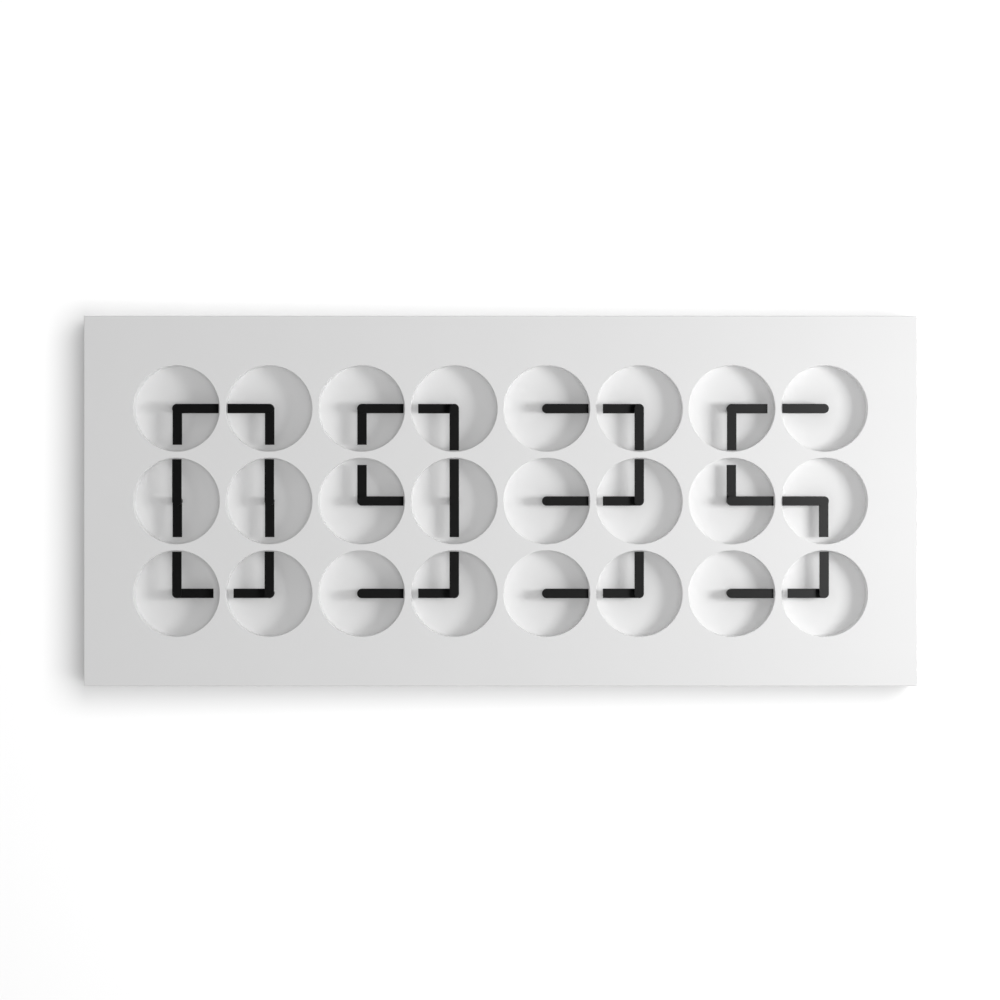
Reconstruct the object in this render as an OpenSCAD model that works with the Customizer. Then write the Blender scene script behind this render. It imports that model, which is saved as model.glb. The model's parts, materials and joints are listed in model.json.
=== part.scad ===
// Kinetic wall clock: a white casing with a grid of round wells, each with two hands
// that turn by themselves, so that the hands of all the dials together draw digits.
//
// Frame: x to the right, z up, the wall at y = 0 and the face towards -y.
// The origin is the middle of the back, on the wall.

/* [Dials] */
// Dials in each row
columns = 8; // [2:2:8]
// Rows of dials
rows = 3; // [1:1:3]
// Distance between neighbouring dial centres
pitch = 92.5; // [80:0.5:120]
// Material left between two neighbouring wells
web = 6; // [3:0.5:14]
// Distance from the outer dial centres to the edge of the face
edge_margin = 92.5; // [88:0.5:140]
// Depth of the wells
well_depth = 20; // [14:0.5:30]

/* [Hands] */
// Width of both hands
hand_w = 9.4; // [6:0.1:12]
// Thickness of the blades
hand_t = 1.6; // [0.8:0.1:2.5]
// Room between the long hand's tip and the wall of its well
tip_gap = 1.1; // [0.6:0.1:6]
// How much shorter the short hand is
hour_shorter = 5.7; // [2:0.1:15]
// How far the long hand lies below the face
minute_drop = 3.2; // [1:0.1:5]
// Room between the two blades
blade_gap = 3; // [1:0.1:4]
// Room between a hand and what stands behind it
hand_clearance = 0.4; // [0.2:0.05:0.8]

/* [Casing] */
// Space behind the dial plate, with the back cover
rear_space = 28; // [25:0.5:45]
// Thickness of the side walls
wall = 14; // [12:0.5:20]
// Width of the ledge that the back cover sits on
ledge = 9; // [8:0.5:11]
// Chamfer along the outer edges
edge_chamfer = 0.6; // [0.2:0.1:2]
// Chamfer on the rims of the wells
rim_chamfer = 0.3; // [0.1:0.1:1]
// Thickness of the dial plate
dial_t = 2; // [1:0.25:3]

/* [Back cover] */
// Thickness of the back cover
cover_t = 3; // [2.5:0.25:4]
// Room around the back cover and the dial plate
sheet_gap = 0.4; // [0.2:0.1:1]
// Length of the connection pocket
pocket_w = 100; // [80:1:140]
// Thickness of the pocket's walls
pocket_wall = 2; // [1.5:0.25:3]
// Room around the pocket, inside the casing
pocket_gap = 1.5; // [0.5:0.25:3]
// Distance between the two keyholes
hang_spacing = 555; // [300:1:700]
// Height of the keyholes above the middle
hang_z = 110; // [40:1:130]
// Diameter of the keyholes' entry
key_head_d = 10; // [7:0.5:14]
// Width of the keyholes' slot
key_slot_d = 5; // [3.5:0.25:6]
// Height of the keyholes' slot
key_rise = 10; // [6:0.5:16]
// Width of the notch for the power cord
notch_w = 9; // [6:0.5:12]
// Place of the notch along the pocket, from its middle
notch_x = -8; // [-20:1:0]
// Cover screws along the top and the bottom
cover_screw_count = 5; // [3:1:9]

/* [Movement] */
// Length of a movement's case
movement_w = 60; // [40:1:70]
// Height of a movement's case
movement_h = 32; // [24:1:40]
// Thickness of a movement's case
movement_t = 10; // [8:0.5:14]
// Corner radius of a movement's case
movement_r = 5; // [2:0.5:8]
// Thickness of the lid that closes a movement's case
lid_t = 2; // [1:0.25:4]
// How far the lid stands in from the case's sides
lid_inset = 0.6; // [0.3:0.1:1.5]
// Diameter of a movement's contact pins
contact_d = 0.8; // [0.5:0.1:1.2]
// Distance of the outer contact pins from the case's ends and sides
contact_inset = 4.5; // [3:0.5:6]
// Distance between the two contact pins at a corner
contact_pitch = 5; // [2.5:0.5:6]
// How far the contact pins reach through their board
contact_reach = 1; // [0.5:0.1:1.4]
// Radial room around a contact pin in its board
contact_gap = 0.1; // [0.05:0.05:0.2]
// Diameter of the long hand's arbor
arbor_d = 3; // [2:0.1:3.4]
// Diameter of the short hand's pipe
pipe_d = 5; // [4.4:0.1:5.6]
// Diameter of the centre bush
bush_d = 8; // [7:0.1:9]
// Diameter of the bush's flange
bush_flange_d = 12; // [10:0.5:16]
// Thickness of the bush's flange
bush_flange_t = 1.2; // [0.8:0.1:2]
// Diameter of the hub under the long hand
hub_d = 6; // [4:0.1:8]
// Radial running clearance of the shafts
run_fit = 0.05; // [0.02:0.01:0.1]
// Radial room where a hand is pressed on its shaft
press_fit = 0.02; // [0.01:0.01:0.05]
// Depth of a movement that the shafts leave free
shaft_stop = 2; // [1:0.25:4]

/* [Electronics] */
// Thickness of the circuit boards
board_t = 1.6; // [1:0.2:2.4]
// Room between neighbouring driver boards
board_gap = 2; // [1:0.5:6]
// Distance of the outer board screws from the line between two dials
board_hole_inset = 8; // [6:0.5:14]
// Diameter of the spacers
standoff_d = 7; // [6:0.5:9]
// Length of the control board
control_w = 114; // [100:1:130]
// Height of the control board
control_h = 26; // [22:1:30]
// Distance of the control board's screws from its ends
control_hole_inset = 6; // [4:0.5:9]
// Height of the control board's spacers
control_lift = 1; // [0.5:0.25:3]
// Width of the chips and of the switches
chip_w = 6; // [4:0.5:9]
// Height of the chips
chip_t = 1.6; // [0.8:0.2:2]
// Height of the switches
switch_t = 2.5; // [1.5:0.25:4]
// Diameter of a switch's plunger
plunger_d = 3.5; // [2:0.25:5]
// Height of a switch's plunger
plunger_t = 1; // [0.5:0.1:2]

/* [Buttons and inlet] */
// Diameter of the button caps
button_d = 8; // [6:0.5:10]
// How far the buttons stand out of the pocket's floor
button_proud = 3.5; // [2:0.25:5]
// Travel of the buttons
button_travel = 1.2; // [0.6:0.1:2]
// Chamfer on the button caps
cap_chamfer = 0.5; // [0.2:0.1:1]
// Distance from the pocket's middle to the first button
button_x = 14; // [8:1:20]
// Distance between the two buttons
button_spacing = 20; // [14:1:28]
// Diameter of the collar that holds a button in
collar_d = 11; // [10:0.5:13]
// Thickness of that collar
collar_t = 1; // [0.6:0.1:2]
// Radial room around sliding and fixed pieces
slide_gap = 0.3; // [0.1:0.05:0.6]
// Diameter of the inlet's barrel
jack_d = 7.8; // [7.4:0.1:8.6]
// Diameter of the inlet's flange
jack_flange_d = 9.5; // [9.2:0.1:11]
// Thickness of the inlet's flange
jack_flange_t = 1.5; // [1:0.1:3]
// Length of the inlet
jack_l = 14; // [12:0.5:20]
// Diameter of the inlet's socket
jack_socket_d = 6.3; // [5.8:0.1:6.6]
// Depth of the inlet's socket
jack_socket_l = 9.5; // [8:0.5:11]
// Diameter of the inlet's centre pin
jack_pin_d = 2.1; // [1.6:0.1:2.6]

/* [Screws] */
// Diameter of the screws
screw_d = 3; // [2:0.1:3.5]
// Diameter of the screw heads
screw_head_d = 5.5; // [4.5:0.1:6.5]
// Height of the screw heads
screw_head_t = 1.6; // [1:0.1:2]
// Across the corners of the screws' sockets
screw_socket_d = 2.4; // [1.6:0.1:3]
// How deep the screws go into the casing
screw_grip = 10; // [6:0.5:12]
// Radial room around a screw
screw_gap = 0.1; // [0.05:0.05:0.4]

/* [Hidden] */
$fn = 64;
// How far a cut runs past the surface that it opens
eps = 1;
depth = well_depth + dial_t + rear_space;
face_w = (columns - 1) * pitch + 2 * edge_margin;
face_h = (rows - 1) * pitch + 2 * edge_margin;
cavity_w = face_w - 2 * wall;
cavity_h = face_h - 2 * wall;
rebate_w = cavity_w + 2 * ledge;
rebate_h = cavity_h + 2 * ledge;
well_r = (pitch - web) / 2;

// Heights above the wall
dial_back = rear_space;
floor_top = dial_back + dial_t;
minute_back = depth - minute_drop - hand_t;
hour_front = minute_back - blade_gap;
hour_back = hour_front - hand_t;
bush_top = hour_back - hand_clearance;
movement_back = dial_back - movement_t;
shaft_end = movement_back + shaft_stop;
board_back = movement_back - board_t;
control_front = dial_back - control_lift;
control_back = control_front - board_t;
plunger_end = control_back - switch_t - plunger_t;
// The stem stops this far short of the plunger when the button is pressed home
stem_stop = 0.1;
stem_end = plunger_end - button_travel - stem_stop;
stem_t = 0.5;
collar_top = stem_end - stem_t;
collar_back = collar_top - collar_t;
pocket_floor = collar_back - slide_gap;
pocket_depth = pocket_floor - pocket_wall;
button_end = pocket_depth - button_proud;
jack_height = cover_t + jack_d / 2 + slide_gap;

// Lengths of the hands, from the pivot to the square tip
minute_l = sqrt(pow(well_r - tip_gap, 2) - pow(hand_w / 2, 2));
hour_l = minute_l - hour_shorter;

// The pocket lies in the margin under the wells
margin_free = edge_margin - well_r - wall;
pocket_h = margin_free - 2 * pocket_wall - 2 * pocket_gap;
pocket_z = -cavity_h / 2 + margin_free / 2;
control_screw_x = control_w / 2 - control_hole_inset;
cover_screw_edge = wall - ledge / 2;
cover_screw_x = face_w / 2 - cover_screw_edge;
cover_screw_z = face_h / 2 - cover_screw_edge;
cover_screw_end = cover_screw_x - 2 * ledge;
head_sink = screw_head_t + screw_gap;

// Where the two hands of each dial point at rest, the long hand first: right, left, up or down
rest_directions = [
    ["RD", "LD", "RD", "DL", "RR", "DL", "DR", "LL"],
    ["UD", "UD", "RU", "UD", "RR", "UL", "RU", "LD"],
    ["UR", "UL", "RR", "UL", "RR", "UL", "RR", "UL"],
];

function dial_x(c) = (c - (columns - 1) / 2) * pitch;
function dial_z(r) = ((rows - 1) / 2 - r) * pitch;
function angle_of(way) = way == "R" ? 0 : way == "U" ? 90 : way == "L" ? 180 : 270;
function hand_name(kind, r, c) = str(kind, "_hand_r", r + 1, "_c", c + 1);

driver_screws = [
    for (b = [0 : columns / 2 - 1], side = [-1 : 1], r = [0 : max(rows - 2, 0)])
        [dial_x(2 * b + 0.5) + side * (pitch - board_hole_inset), dial_z(r + 0.5)],
];
control_screws = [for (side = [-1, 1]) [side * control_screw_x, pocket_z]];
cover_screws = concat(
    [
        for (i = [0 : cover_screw_count - 1], side = [-1, 1])
            [(2 * i / (cover_screw_count - 1) - 1) * cover_screw_end, side * cover_screw_z],
    ],
    [for (side = [-1, 1]) [side * cover_screw_x, 0]]
);
// The contact pins of a movement, from its middle: two at each corner
contacts = [
    for (sx = [-1, 1], sy = [-1, 1], i = [0, 1])
        [sx * (movement_w / 2 - contact_inset - i * contact_pitch), sy * (movement_h / 2 - contact_inset)],
];
buttons = [for (i = [0, 1]) [button_x + i * button_spacing, pocket_z]];

// Pieces are drawn lying on the wall, x to the right, y up the wall and z away from it,
// and this stands the wall up
module on_wall() rotate([90, 0, 0]) children();

// A copy at each point of a list
module at_points(points)
    for (p = points) translate([p[0], p[1], 0]) children();

module at_dials()
    for (r = [0 : rows - 1], c = [0 : columns - 1])
        translate([dial_x(c), dial_z(r), 0]) children();

// A plate with square corners between two heights
module plate(size, from, to)
    translate([0, 0, from]) linear_extrude(to - from) square(size, center = true);

// A round hole or rod between two heights
module rod(d, from, to) translate([0, 0, from]) cylinder(d = d, h = to - from);

// A prism that takes the chamfer off one edge of length l, along x, with the edge at the origin
module edge_cut(l)
    rotate([90, 0, 90]) linear_extrude(l + 2 * eps, center = true)
        polygon([[eps, eps], [-edge_chamfer - eps, eps], [eps, -edge_chamfer - eps]]);

// The straight well with its chamfered rim, as a cutter
module well_cut()
    rotate_extrude()
        polygon([
            [0, floor_top - eps],
            [well_r, floor_top - eps],
            [well_r, depth - rim_chamfer],
            [well_r + rim_chamfer + eps, depth + eps],
            [0, depth + eps],
        ]);

// A bar of length l from its round end at the origin to its square end along x
module tongue(l, w, t) {
    rotate(90) rotate_extrude(angle = 180) square([w / 2, t]);
    translate([0, -w / 2, 0]) cube([l, w, t]);
}

// The way for the power cord, from the pocket out through the lower edge, as a cutter
module cord_notch()
    translate([notch_x, pocket_z, notch_w / 2]) rotate([90, 90, 0])
        tongue(notch_w / 2 + eps, notch_w, face_h / 2);

// The white face with its wells, and the side walls behind it
module casing()
    color("whitesmoke") on_wall() difference() {
        plate([face_w, face_h], 0, depth);
        plate([cavity_w, cavity_h], -eps, floor_top);
        plate([rebate_w, rebate_h], -eps, cover_t);
        at_dials() well_cut();
        for (turn = [0, 180]) rotate(turn) {
            translate([0, face_h / 2, depth]) edge_cut(face_w);
            translate([face_w / 2, 0, depth]) rotate(-90) edge_cut(face_h);
        }
        at_points(concat(driver_screws, control_screws))
            rod(screw_d + 2 * screw_gap, floor_top - eps, floor_top + screw_grip + screw_gap);
        at_points(cover_screws)
            rod(screw_d + 2 * screw_gap, cover_t - eps, cover_t + screw_grip + screw_gap);
        cord_notch();
    }

// The sheet that makes the floors of the wells
module dial_plate()
    color("white") on_wall() difference() {
        plate([cavity_w - 2 * sheet_gap, cavity_h - 2 * sheet_gap], dial_back, floor_top);
        at_dials() rod(bush_d + 2 * screw_gap, dial_back - eps, floor_top + eps);
        at_points(concat(driver_screws, control_screws))
            rod(screw_d + 2 * screw_gap, dial_back - eps, floor_top + eps);
    }

// A keyhole, with its slot upwards from the entry
module keyhole()
    translate([0, 0, -eps]) linear_extrude(cover_t + 2 * eps) {
        circle(d = key_head_d);
        translate([-key_slot_d / 2, 0]) square([key_slot_d, key_rise]);
        translate([0, key_rise]) circle(d = key_slot_d);
    }

// The plate that closes the back, with the pocket for the inlet and the buttons
module back_cover()
    color("gainsboro") on_wall() difference() {
        union() {
            plate([rebate_w - 2 * sheet_gap, rebate_h - 2 * sheet_gap], 0, cover_t);
            translate([0, pocket_z, 0])
                plate([pocket_w + 2 * pocket_wall, pocket_h + 2 * pocket_wall], 0, pocket_floor);
        }
        translate([0, pocket_z, 0]) plate([pocket_w, pocket_h], -eps, pocket_depth);
        at_points([for (side = [-1, 1]) [side * hang_spacing / 2, hang_z]]) keyhole();
        at_points(cover_screws) {
            rod(screw_d + 2 * screw_gap, -eps, cover_t + eps);
            rod(screw_head_d + 2 * screw_gap, -eps, head_sink);
        }
        at_points(buttons) rod(button_d + 2 * slide_gap, pocket_depth - eps, pocket_floor + eps);
        translate([-pocket_w / 2, pocket_z, jack_height]) rotate([0, -90, 0])
            rod(jack_d + 2 * screw_gap, -eps, pocket_wall + eps);
        cord_notch();
    }

// The black bushes around the shafts, held by their flanges between dial plate and movement
module centre_bushes()
    color("black") on_wall() at_dials() difference() {
        union() {
            rod(bush_flange_d, dial_back - bush_flange_t, dial_back);
            rod(bush_d, dial_back - bush_flange_t, bush_top);
        }
        rod(pipe_d + 2 * run_fit, dial_back - bush_flange_t - eps, bush_top + eps);
    }

// A square-cornered outline with its corners rounded off
module rounded(size, r)
    difference() {
        square(size, center = true);
        for (sx = [-1, 1], sy = [-1, 1])
            translate([sx * size[0] / 2, sy * size[1] / 2]) difference() {
                square(2 * r, center = true);
                translate([-sx * r, -sy * r]) circle(r);
            }
    }

// The twin-shaft stepper movements: a case with a lid behind, open in front for the bush and the
// shafts, on contact pins that are soldered into the board
module movements()
    color("dimgray") on_wall() at_dials() difference() {
        union() {
            translate([0, 0, movement_back + lid_t]) linear_extrude(movement_t - lid_t)
                rounded([movement_w, movement_h], movement_r);
            translate([0, 0, movement_back]) linear_extrude(movement_t)
                rounded([movement_w - 2 * lid_inset, movement_h - 2 * lid_inset], movement_r - lid_inset);
            at_points(contacts) rod(contact_d, board_back - contact_reach, movement_back + lid_t);
        }
        rod(bush_flange_d + 2 * slide_gap, dial_back - bush_flange_t, dial_back + eps);
        rod(pipe_d + 2 * slide_gap, movement_back + shaft_stop / 2, dial_back + eps);
    }

// One board for the two columns of dials that draw a digit, with a chip for each dial
module driver_boards()
    color("darkgreen") on_wall() difference() {
        union() {
            for (b = [0 : columns / 2 - 1]) translate([dial_x(2 * b + 0.5), 0, 0])
                plate([2 * pitch - board_gap, (rows - 1) * pitch + 2 * well_r], board_back, movement_back);
            at_dials() plate([2 * chip_w, chip_w], board_back - chip_t, board_back);
        }
        at_points(driver_screws) rod(screw_d + 2 * screw_gap, board_back - eps, movement_back + eps);
        at_dials() at_points(contacts)
            rod(contact_d + 2 * contact_gap, board_back - eps, movement_back + eps);
    }

// The board under the pocket, with a switch for each button
module control_board()
    color("darkgreen") on_wall() difference() {
        union() {
            translate([0, pocket_z, 0]) plate([control_w, control_h], control_back, control_front);
            at_points(buttons) {
                plate([chip_w, chip_w], control_back - switch_t, control_back);
                rod(plunger_d, plunger_end, control_back);
            }
        }
        at_points(control_screws) rod(screw_d + 2 * screw_gap, control_back - eps, control_front + eps);
    }

// A spacer tube that a board screw goes through
module standoff(from, to)
    difference() {
        rod(standoff_d, from, to);
        rod(screw_d + 2 * screw_gap, from - eps, to + eps);
    }

module standoffs()
    color("silver") on_wall() {
        at_points(driver_screws) standoff(movement_back, dial_back);
        at_points(control_screws) standoff(control_front, dial_back);
    }

// A screw with its head's seat at one height and its point at another
module screw(seat, point)
    difference() {
        union() {
            rod(screw_head_d, seat - screw_head_t, seat);
            rod(screw_d, seat - screw_head_t, point);
        }
        translate([0, 0, seat - screw_head_t - eps])
            cylinder(d = screw_socket_d, h = screw_head_t / 2 + eps, $fn = 6);
    }

module screws()
    color("gray") on_wall() {
        at_points(driver_screws) screw(board_back, floor_top + screw_grip);
        at_points(control_screws) screw(control_back, floor_top + screw_grip);
        at_points(cover_screws) screw(head_sink, cover_t + screw_grip);
    }

// The power inlet in the end wall of the pocket: flange, barrel, socket and centre pin in one turned form
module dc_jack()
    color("black") on_wall()
        translate([-pocket_w / 2 + jack_flange_t, pocket_z, jack_height]) rotate([0, -90, 0])
            rotate_extrude()
                polygon([
                    [0, jack_flange_t / 2],
                    [jack_pin_d / 2, jack_flange_t / 2],
                    [jack_pin_d / 2, jack_socket_l],
                    [jack_socket_d / 2, jack_socket_l],
                    [jack_socket_d / 2, 0],
                    [jack_flange_d / 2, 0],
                    [jack_flange_d / 2, jack_flange_t],
                    [jack_d / 2, jack_flange_t],
                    [jack_d / 2, jack_l],
                    [0, jack_l],
                ]);

// A push button: the cap, the collar behind the pocket's floor and the stem over the switch
module button(i)
    color("dimgray") on_wall() translate([buttons[i][0], buttons[i][1], 0])
        rotate_extrude()
            polygon([
                [0, button_end],
                [button_d / 2 - cap_chamfer, button_end],
                [button_d / 2, button_end + cap_chamfer],
                [button_d / 2, collar_back],
                [collar_d / 2, collar_back],
                [collar_d / 2, collar_top],
                [plunger_d / 2, collar_top],
                [plunger_d / 2, stem_end],
                [0, stem_end],
            ]);

module mode_button() button(0);

module set_button() button(1);

// What lies at one dial, turned the way that a hand points at rest: 0 is the long hand and 1 the short one
module at_rest(r, c, hand)
    translate([dial_x(c), dial_z(r), 0]) rotate(angle_of(rest_directions[r][c][hand])) children();

// The long hand, a blade with a hub under it, pressed on the arbor that runs down the pipe into the movement
module minute_hand(r, c)
    color("black") on_wall() at_rest(r, c, 0) {
        difference() {
            union() {
                translate([0, 0, minute_back]) tongue(minute_l, hand_w, hand_t);
                rod(hub_d, hour_front + hand_clearance, minute_back);
            }
            rod(arbor_d + 2 * press_fit, hour_front, minute_back);
        }
        rod(arbor_d, shaft_end, minute_back - press_fit);
    }

// The short hand, a blade pressed on the pipe that runs in the bush
module hour_hand(r, c)
    color("black") on_wall() at_rest(r, c, 1) {
        difference() {
            translate([0, 0, hour_back]) tongue(hour_l, hand_w, hand_t);
            rod(pipe_d + 2 * press_fit, hour_back - eps, hour_front + eps);
        }
        difference() {
            rod(pipe_d, shaft_end, hour_front);
            rod(arbor_d + 2 * run_fit, shaft_end - eps, hour_front + eps);
        }
    }

casing();
dial_plate();
back_cover();
centre_bushes();
movements();
driver_boards();
control_board();
standoffs();
screws();
dc_jack();
mode_button();
set_button();
for (r = [0 : rows - 1], c = [0 : columns - 1]) {
    minute_hand(r, c);
    hour_hand(r, c);
}
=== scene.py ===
"""Kinetic wall clock: the finish of every piece, the wall it hangs on, the light and the camera."""

import json
import math

import bpy
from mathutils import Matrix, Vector


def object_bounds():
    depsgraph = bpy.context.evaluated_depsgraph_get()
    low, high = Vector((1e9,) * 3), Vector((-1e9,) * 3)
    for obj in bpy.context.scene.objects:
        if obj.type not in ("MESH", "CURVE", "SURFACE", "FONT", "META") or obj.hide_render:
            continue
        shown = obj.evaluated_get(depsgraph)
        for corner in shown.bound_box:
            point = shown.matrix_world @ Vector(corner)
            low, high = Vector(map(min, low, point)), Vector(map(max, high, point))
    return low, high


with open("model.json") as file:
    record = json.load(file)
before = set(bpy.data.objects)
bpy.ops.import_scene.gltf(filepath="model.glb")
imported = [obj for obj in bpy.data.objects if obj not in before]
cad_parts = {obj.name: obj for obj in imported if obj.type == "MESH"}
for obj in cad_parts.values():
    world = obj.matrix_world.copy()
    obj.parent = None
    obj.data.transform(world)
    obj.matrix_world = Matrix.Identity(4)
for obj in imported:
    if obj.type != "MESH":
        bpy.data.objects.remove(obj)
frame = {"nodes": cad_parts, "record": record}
cad_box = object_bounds()

# Camera: straight in front of the face, a hair to the left of and above its middle
CAMERA_DISTANCE = 2.92  # from the face
CAMERA_X = -0.0005
CAMERA_Z = 0.001
PICTURE_WIDTH = 0.999  # what the picture's width covers at the face
SENSOR_WIDTH = 36.0  # millimetres, as the lens is

# Wall and floor
WALL_GAP = 0.0004  # between the wall and the clock's back
WALL_SIZE = (8.0, 5.0)
FLOOR_Z = -1.4
FLOOR_SIZE = (8.0, 3.2)
BACK_REACH = 0.03  # shorter rays pass the wall, so that light from behind reaches the clock's back
WALL_COLOUR = 0.64
WALL_BOUNCE = 0.2  # the wall's colour for the light that it throws back on to the clock
WALL_GLOW = 0.07  # the wall's own faint light, which only the camera and reflections see
UPRIGHT = (math.pi / 2, 0, 0)  # stands a sheet up to face -Y, and turns the camera to look along +Y

# Lamps: a place, the way it faces, its width and height in metres, and its power in watts
KEY = {"place": (1.05, -0.78, 0.02), "facing": (-0.6, 1.0, 0.0), "size": (0.4, 0.25), "watts": 5.9}
FRONT = {"place": (0.3, -2.9, 0.0), "facing": (-0.3, 2.85, 0.0), "size": (0.8, 0.8), "watts": 10.2}
WALL_LAMP = {"place": (1.6, -3.6, 0.4), "facing": (0.0, 1.0, 0.0), "size": (3.2, 4.2), "watts": 276.0}
BACK = {"place": (-0.9, 1.6, 0.9), "facing": (0.9, -1.6, -0.9), "size": (1.2, 1.2), "watts": 24.0}
ROOM_LIGHT = 0.456  # light from all round
SHEEN_WATTS = 28.0  # the key again, for the gloss of the hands alone

# The inlet's axis, by y and z, and a radius just outside its pin
INLET_AXIS = (-0.0072, -0.153375)
INLET_PIN_RADIUS = 0.0012

# Boards: their copper tracks, and planes by y just behind their backs, past which lie chips and switches
TRACK_PITCH = 0.0024
TRACK_SHARE = 0.35  # of the pitch
DRIVER_BOARD_BACK = -0.0164
CONTROL_BOARD_BACK = -0.0254

# The dark end of the room behind the camera, which shows only in reflections
DARK_END_Y = -3.2
DARK_END_SIZE = (24.0, 16.0)

nodes_of = frame["nodes"]


class Shader:
    """A material's node tree, with short calls for the nodes that the finishes share."""

    def __init__(self, name):
        self.material = bpy.data.materials.new(name)
        self.material.use_nodes = True
        self.tree = self.material.node_tree
        self.tree.nodes.clear()
        self.output = self.add("ShaderNodeOutputMaterial")

    def add(self, kind, **settings):
        node = self.tree.nodes.new(kind)
        for key, value in settings.items():
            setattr(node, key, value)
        return node

    def link(self, source, target):
        self.tree.links.new(source, target)

    def principled(self, **sockets):
        """The main shader, with constant values set on its own sockets."""
        node = self.add("ShaderNodeBsdfPrincipled")
        for name, value in sockets.items():
            node.inputs[name.replace("_", " ").title().replace("Ior", "IOR")].default_value = value
        self.link(node.outputs[0], self.output.inputs["Surface"])
        return node

    def place(self):
        """The point on the piece, in metres in the clock's frame."""
        return self.add("ShaderNodeTexCoord").outputs["Object"]

    def axes(self):
        """The point's x, y and z, in metres in the clock's frame."""
        node = self.add("ShaderNodeSeparateXYZ")
        self.link(self.place(), node.inputs[0])
        return node.outputs

    def math(self, operation, a, b=0.0):
        """One step of arithmetic on a and b, each a number or another node's output."""
        node = self.add("ShaderNodeMath", operation=operation)
        for socket, value in zip(node.inputs, (a, b)):
            if isinstance(value, (int, float)):
                socket.default_value = value
            else:
                self.link(value, socket)
        return node.outputs[0]

    def noise(self, size, detail=2.0, stretch=(1.0, 1.0, 1.0)):
        """Noise from 0 to 1 whose grains are about as wide as size, in metres."""
        mapping = self.add("ShaderNodeMapping")
        mapping.inputs["Scale"].default_value = stretch
        self.link(self.place(), mapping.inputs["Vector"])
        node = self.add("ShaderNodeTexNoise")
        node.inputs["Scale"].default_value = 1 / size
        node.inputs["Detail"].default_value = detail
        self.link(mapping.outputs[0], node.inputs["Vector"])
        return node.outputs["Fac"]

    def spread(self, value, low, high):
        """Value from 0 to 1 spread over another range."""
        node = self.add("ShaderNodeMapRange")
        node.inputs["To Min"].default_value = low
        node.inputs["To Max"].default_value = high
        self.link(value, node.inputs["Value"])
        return node.outputs["Result"]

    def blend(self, factor, a, b):
        """Colour a where factor is 0 and colour b where it is 1."""
        node = self.add("ShaderNodeMix", data_type="RGBA")
        self.link(factor, node.inputs["Factor"])
        for socket, value in ((node.inputs[6], a), (node.inputs[7], b)):
            if isinstance(value, tuple):
                socket.default_value = (*value, 1.0)
            else:
                self.link(value, socket)
        return node.outputs[2]

    def bump(self, height, depth, target):
        """Relief of the given depth, in metres."""
        node = self.add("ShaderNodeBump")
        node.inputs["Strength"].default_value = 1.0
        node.inputs["Distance"].default_value = depth
        self.link(height, node.inputs["Height"])
        self.link(node.outputs[0], target.inputs["Normal"])


def grey(level):
    return (level, level, level)


WHITES = (grey(0.89), grey(0.91))  # the paint's white varies between these


def white_lacquer():
    """Sprayed satin white: a trace of orange peel and of cloudiness in the sheen."""
    s = Shader("white_lacquer")
    p = s.principled()
    s.link(s.blend(s.noise(0.06), *WHITES), p.inputs["Base Color"])
    s.link(s.spread(s.noise(0.02), 0.48, 0.56), p.inputs["Roughness"])
    s.bump(s.noise(0.0012, 1.0), 0.000006, p)
    return s.material


def dial_white():
    """The same white on thin sheet, a little flatter."""
    s = Shader("dial_white")
    p = s.principled()
    s.link(s.blend(s.noise(0.03), *WHITES), p.inputs["Base Color"])
    s.link(s.spread(s.noise(0.01), 0.5, 0.6), p.inputs["Roughness"])
    s.bump(s.noise(0.0006, 1.0), 0.000004, p)
    return s.material


def satin_black():
    """Fine-grained black paint on the aluminium hands."""
    s = Shader("satin_black")
    p = s.principled(specular_ior_level=0.5)
    s.link(s.blend(s.noise(0.004), grey(0.001), grey(0.0015)), p.inputs["Base Color"])
    s.link(s.spread(s.noise(0.002), 0.36, 0.40), p.inputs["Roughness"])
    s.bump(s.noise(0.0003, 1.0), 0.000004, p)
    return s.material


def moulded(name, low, high, grain, roughness):
    """Moulded plastic with a spark-eroded grain."""
    s = Shader(name)
    p = s.principled(specular_ior_level=0.4)
    s.link(s.blend(s.noise(0.01), grey(low), grey(high)), p.inputs["Base Color"])
    s.link(s.spread(s.noise(2 * grain), roughness - 0.06, roughness + 0.06), p.inputs["Roughness"])
    s.bump(s.noise(grain, 3.0), 0.00003, p)
    return s.material


def turned_metal(name, level, roughness):
    """Bright metal with fine turning marks."""
    s = Shader(name)
    p = s.principled(metallic=1.0)
    s.link(s.blend(s.noise(0.002), grey(0.9 * level), grey(level)), p.inputs["Base Color"])
    marks = s.noise(0.0005, 2.0, (0.2, 4.0, 0.2))
    s.link(s.spread(marks, roughness - 0.08, roughness + 0.08), p.inputs["Roughness"])
    s.bump(marks, 0.000008, p)
    return s.material


def inlet_plastic():
    """Black moulded plastic, with the centre pin plated."""
    s = Shader("inlet_plastic")
    p = s.principled(specular_ior_level=0.4)
    _, y, z = s.axes()
    off_y = s.math("SUBTRACT", y, INLET_AXIS[0])
    off_z = s.math("SUBTRACT", z, INLET_AXIS[1])
    off = s.math("ADD", s.math("MULTIPLY", off_y, off_y), s.math("MULTIPLY", off_z, off_z))
    pin = s.math("LESS_THAN", off, INLET_PIN_RADIUS**2)
    s.link(pin, p.inputs["Metallic"])
    black = s.blend(s.noise(0.01), grey(0.012), grey(0.016))
    s.link(s.blend(pin, black, grey(0.75)), p.inputs["Base Color"])
    s.link(s.spread(s.noise(0.0006), 0.36, 0.5), p.inputs["Roughness"])
    s.bump(s.noise(0.0003, 3.0), 0.00002, p)
    return s.material


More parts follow.
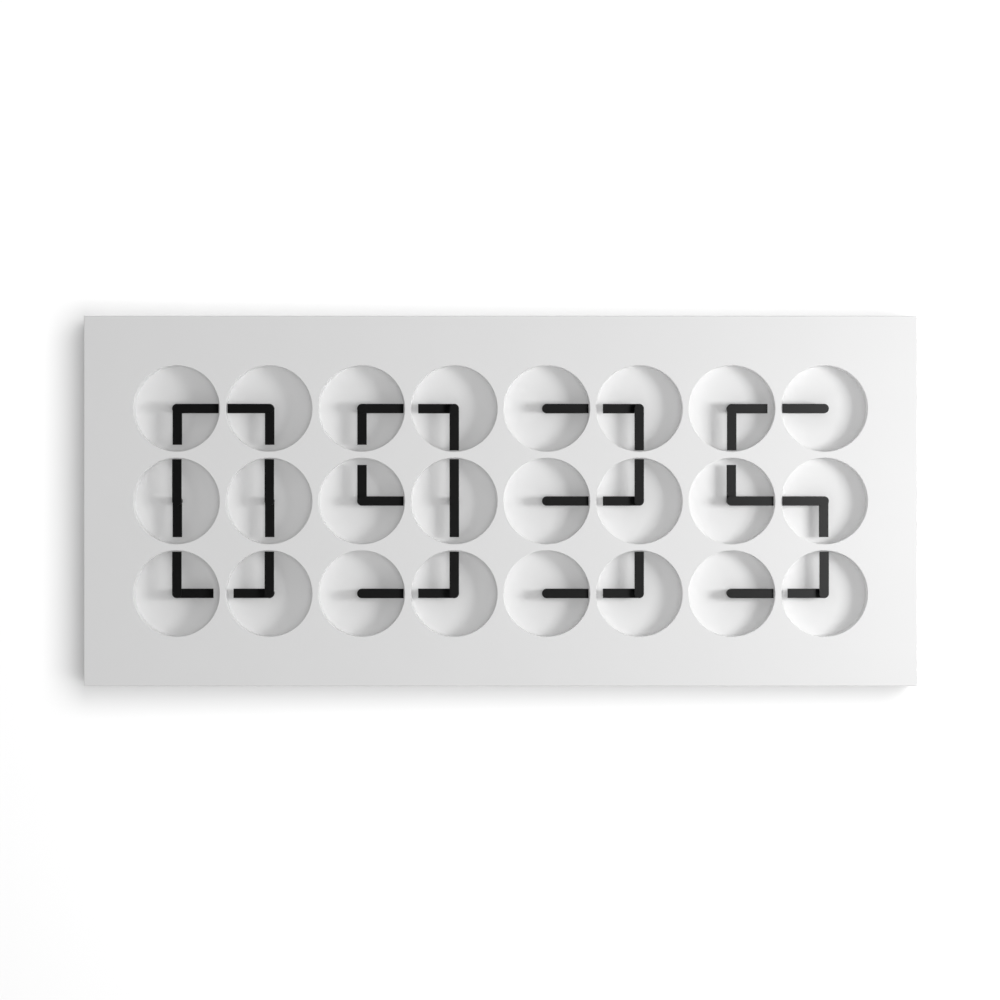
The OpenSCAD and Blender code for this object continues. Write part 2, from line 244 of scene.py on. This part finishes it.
def circuit_board(name, back):
    """Green solder mask over copper tracks, and black chips or switches behind the board's back."""
    s = Shader(name)
    p = s.principled()
    x, y, z = s.axes()
    part = s.math("GREATER_THAN", y, back)
    along = s.math("LESS_THAN", s.math("FRACT", s.math("DIVIDE", z, TRACK_PITCH)), TRACK_SHARE)
    up = s.math("LESS_THAN", s.math("FRACT", s.math("DIVIDE", x, TRACK_PITCH)), TRACK_SHARE)
    way = s.math("GREATER_THAN", s.noise(0.02, 0.0), 0.5)
    track = s.math("MULTIPLY", way, along)
    track = s.math("ADD", track, s.math("MULTIPLY", s.math("SUBTRACT", 1.0, way), up))
    green = s.blend(track, (0.006, 0.075, 0.028), (0.012, 0.13, 0.05))
    s.link(s.blend(part, green, grey(0.012)), p.inputs["Base Color"])
    s.link(s.spread(s.noise(0.001), 0.28, 0.4), p.inputs["Roughness"])
    s.bump(track, 0.00003, p)
    return s.material


FINISHES = {
    "casing_white": white_lacquer(),
    "dial_white": dial_white(),
    "cover_plastic": moulded("cover_plastic", low=0.60, high=0.64, grain=0.0004, roughness=0.55),
    "bush_black": moulded("bush_black", low=0.002, high=0.003, grain=0.0003, roughness=0.6),
    "movement_plastic": moulded("movement_plastic", low=0.05, high=0.06, grain=0.0004, roughness=0.5),
    "standoff_metal": turned_metal("standoff_metal", level=0.75, roughness=0.35),
    "screw_steel": turned_metal("screw_steel", level=0.4, roughness=0.3),
    "inlet_black": inlet_plastic(),
    "button_grey": moulded("button_grey", low=0.08, high=0.09, grain=0.0003, roughness=0.5),
    "hand_black": satin_black(),
}
BOARDS = {
    "driver_boards": circuit_board("driver_board", DRIVER_BOARD_BACK),
    "control_board": circuit_board("control_board", CONTROL_BOARD_BACK),
}

for part in frame["record"]["subparts"]:
    mesh = nodes_of[part["node"]].data
    mesh.materials.clear()
    mesh.materials.append(BOARDS.get(part["node"]) or FINISHES[part["material_slot"]])


def wall_material():
    """White wall that keeps the clock's shadow and can't be seen from behind."""
    s = Shader("wall_white")
    diffuse = s.add("ShaderNodeBsdfDiffuse")
    path = s.add("ShaderNodeLightPath")
    colour = s.spread(path.outputs["Is Diffuse Ray"], WALL_COLOUR, WALL_BOUNCE)
    s.link(colour, diffuse.inputs["Color"])
    glow = s.add("ShaderNodeEmission")
    seen = s.math("MAXIMUM", path.outputs["Is Camera Ray"], path.outputs["Is Glossy Ray"])
    seen = s.math("MAXIMUM", seen, path.outputs["Is Transmission Ray"])
    s.link(s.math("MULTIPLY", seen, WALL_GLOW), glow.inputs["Strength"])
    both = s.add("ShaderNodeAddShader")
    s.link(diffuse.outputs[0], both.inputs[0])
    s.link(glow.outputs[0], both.inputs[1])
    behind = s.add("ShaderNodeNewGeometry").outputs["Backfacing"]
    close = s.math("LESS_THAN", path.outputs["Ray Length"], BACK_REACH)
    open_side = s.math("MAXIMUM", behind, close)
    mix = s.add("ShaderNodeMixShader")
    s.link(open_side, mix.inputs[0])
    s.link(both.outputs[0], mix.inputs[1])
    s.link(s.add("ShaderNodeBsdfTransparent").outputs[0], mix.inputs[2])
    s.link(mix.outputs[0], s.output.inputs["Surface"])
    return s.material


def stage_plane(name, size, place, turn, material):
    """A flat sheet that isn't part of the clock."""
    x, y = size[0] / 2, size[1] / 2
    mesh = bpy.data.meshes.new(name)
    mesh.from_pydata([(-x, -y, 0), (x, -y, 0), (x, y, 0), (-x, y, 0)], [], [(0, 1, 2, 3)])
    sheet = bpy.data.objects.new(name, mesh)
    sheet.location = place
    sheet.rotation_euler = turn
    mesh.materials.append(material)
    bpy.context.scene.collection.objects.link(sheet)
    return sheet


wall_white = wall_material()
wall_middle = FLOOR_Z + WALL_SIZE[1] / 2
wall = stage_plane("wall", WALL_SIZE, (0, WALL_GAP, wall_middle), UPRIGHT, wall_white)
floor = stage_plane("floor", FLOOR_SIZE, (0, -FLOOR_SIZE[1] / 2, FLOOR_Z), (0, 0, 0), wall_white)
floor.visible_diffuse = False  # it throws no light back on to the clock
stage = (wall, floor)


def dark_material():
    """Nearly black."""
    s = Shader("dark_end")
    dark = s.add("ShaderNodeBsdfDiffuse")
    dark.inputs["Color"].default_value = (*grey(0.01), 1.0)
    s.link(dark.outputs[0], s.output.inputs["Surface"])
    return s.material


dark_end = stage_plane("dark_end", DARK_END_SIZE, (0, DARK_END_Y, 0), UPRIGHT, dark_material())
dark_end.visible_camera = False
dark_end.visible_diffuse = False
dark_end.visible_shadow = False


def softbox(name, place, facing, size, watts):
    """A soft rectangular lamp."""
    data = bpy.data.lights.new(name, "AREA")
    data.shape = "RECTANGLE"
    data.size, data.size_y = size
    data.energy = watts
    lamp = bpy.data.objects.new(name, data)
    lamp.location = place
    lamp.rotation_euler = Vector(facing).to_track_quat("-Z", "Y").to_euler()
    bpy.context.scene.collection.objects.link(lamp)
    return lamp


def even_out(lamp):
    """Makes a near lamp's light fall off gently with distance, as from a long row of tubes."""
    lamp.data.use_nodes = True
    tree = lamp.data.node_tree
    falloff = tree.nodes.new("ShaderNodeLightFalloff")
    falloff.inputs["Strength"].default_value = 1.0
    tree.links.new(falloff.outputs["Linear"], tree.nodes["Emission"].inputs["Strength"])


def choose_lit(lamp, choice, objects):
    """Lets a lamp light only the given objects (INCLUDE), or all but these (EXCLUDE)."""
    chosen = bpy.data.collections.new(f"{lamp.name}_chosen")
    lamp.light_linking.receiver_collection = chosen
    for thing in objects:
        chosen.objects.link(thing)
    for member in chosen.collection_objects:
        member.light_linking.link_state = choice


hands = [thing for name, thing in nodes_of.items() if "_hand_" in name]
key = softbox("key", **KEY)
front = softbox("front", **FRONT)
sheen = softbox("sheen", **(KEY | {"watts": SHEEN_WATTS}))
for lamp in (key, sheen):
    even_out(lamp)
front.visible_glossy = False
for lamp in (key, front):
    choose_lit(lamp, "EXCLUDE", stage)
sheen.visible_diffuse = False
choose_lit(sheen, "INCLUDE", hands)
choose_lit(softbox("wall_lamp", **WALL_LAMP), "INCLUDE", stage)
softbox("back", **BACK)


def world_light():
    """Even light from the room, and a white background."""
    world = bpy.data.worlds.new("studio")
    world.use_nodes = True
    tree = world.node_tree
    tree.nodes.clear()

    path = tree.nodes.new("ShaderNodeLightPath")
    seen = path.outputs["Is Camera Ray"]
    for kind in ("Is Glossy Ray", "Is Transmission Ray"):
        either = tree.nodes.new("ShaderNodeMath")
        either.operation = "MAXIMUM"
        tree.links.new(seen, either.inputs[0])
        tree.links.new(path.outputs[kind], either.inputs[1])
        seen = either.outputs[0]
    strength = tree.nodes.new("ShaderNodeMapRange")
    strength.inputs["To Min"].default_value = ROOM_LIGHT
    tree.links.new(seen, strength.inputs["Value"])
    background = tree.nodes.new("ShaderNodeBackground")
    background.inputs["Color"].default_value = (*grey(1.0), 1.0)
    tree.links.new(strength.outputs["Result"], background.inputs["Strength"])
    output = tree.nodes.new("ShaderNodeOutputWorld")
    tree.links.new(background.outputs[0], output.inputs["Surface"])
    bpy.context.scene.world = world


world_light()

face_y = cad_box[0].y
lens = bpy.data.cameras.new("camera")
lens.sensor_width = SENSOR_WIDTH
lens.lens = SENSOR_WIDTH * CAMERA_DISTANCE / PICTURE_WIDTH
camera = bpy.data.objects.new("camera", lens)
camera.location = (CAMERA_X, face_y - CAMERA_DISTANCE, CAMERA_Z)
camera.rotation_euler = UPRIGHT
bpy.context.scene.collection.objects.link(camera)
bpy.context.scene.camera = camera

bpy.context.scene.view_settings.view_transform = "Standard"
